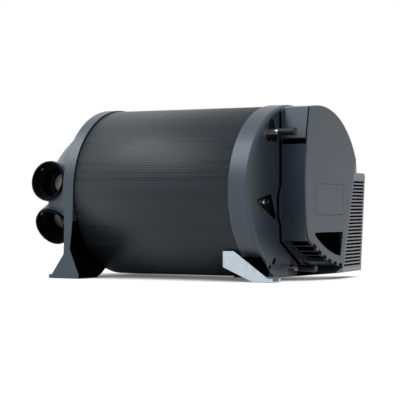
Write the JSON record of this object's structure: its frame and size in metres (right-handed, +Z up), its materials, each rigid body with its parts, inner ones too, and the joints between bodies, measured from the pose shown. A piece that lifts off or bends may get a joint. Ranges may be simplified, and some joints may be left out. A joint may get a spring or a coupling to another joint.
{
  "type": "caravan air and water heater",
  "caption": "Barrel-shaped caravan heater that warms air and water: ribbed jacket, louvred fan hood, capped water pipes, round warm air outlets, feet and a floor bracket.",
  "frame": {"origin": "centre of the bounding box's footprint, on the floor that the feet stand on", "axes": "+X along the barrel towards the fan hood, +Y to the rear where the flue pipes leave, +Z up"},
  "size_m": [0.516, 0.35, 0.294],
  "materials": {
    "jacket_paint": "satin, finely ribbed along the barrel",
    "casing_grey": "fine matt grain",
    "black_plastic": "satin",
    "soft_black": "matt",
    "stainless": "bright",
    "zinc_sheet": "zinc coated, lightly spangled",
    "cast_aluminium": "as cast",
    "motor_steel": "satin",
    "foam": "matt foam",
    "board_green": "satin",
    "sensor_brass": "satin",
    "switch_body": "matt"
  },
  "bodies": {
    "heater": {"jacket": "jacket_paint", "insulation_sleeve": "foam", "insulation_end": "foam", "water_tank": "stainless", "heat_exchanger": "cast_aluminium", "combustion_tube": "stainless", "burner_head": "cast_aluminium", "glow_plug": "stainless", "flame_sensor": "stainless", "blower_housing": "cast_aluminium", "combustion_motor": "motor_steel", "exhaust_pipe": "stainless", "combustion_air_pipe": "black_plastic", "end_ring": "casing_grey", "fan_motor": "motor_steel", "fan_shroud": "black_plastic", "fan_hood": "casing_grey", "control_cover": "casing_grey", "control_board": "board_green", "board_parts": "black_plastic", "service_plate": "casing_grey", "intake_louvre": "casing_grey", "belly_louvre": "casing_grey", "end_plate": "casing_grey", "air_distributor": "casing_grey", "outlet_front_upper": "black_plastic", "outlet_front_lower": "black_plastic", "outlet_rear_upper": "black_plastic", "outlet_rear_lower": "black_plastic", "floor_bracket": "zinc_sheet", "bracket_screws": "stainless", "hot_water_pipe": "stainless", "cold_water_pipe": "stainless", "pipe_grommets": "soft_black", "fuel_nipple": "stainless", "water_sensor": "sensor_brass", "overheat_switch": "switch_body", "motor_bushes": "sensor_brass"},
    "air_rotor": {"fan_shaft": "stainless", "air_fan": "black_plastic"},
    "combustion_rotor": {"combustion_shaft": "stainless", "combustion_fan": "black_plastic"},
    "hot_cap": {"hot_pipe_cap": "soft_black"},
    "cold_cap": {"cold_pipe_cap": "soft_black"}
  },
  "joints": [
    {"name": "air_fan_spin", "type": "hinge", "parent": "heater", "child": "air_rotor", "pos_m": [0.21, 0.031, 0.17], "axis": [1, 0, 0], "continuous": true},
    {"name": "combustion_fan_spin", "type": "hinge", "parent": "heater", "child": "combustion_rotor", "pos_m": [0.145, -0.017, 0.148], "axis": [1, 0, 0], "continuous": true},
    {"name": "hot_cap_pull", "type": "slide", "parent": "heater", "child": "hot_cap", "axis": [1, 0, 0], "range_m": [0, 0.04]},
    {"name": "cold_cap_pull", "type": "slide", "parent": "heater", "child": "cold_cap", "axis": [1, 0, 0], "range_m": [0, 0.04]}
  ]
}
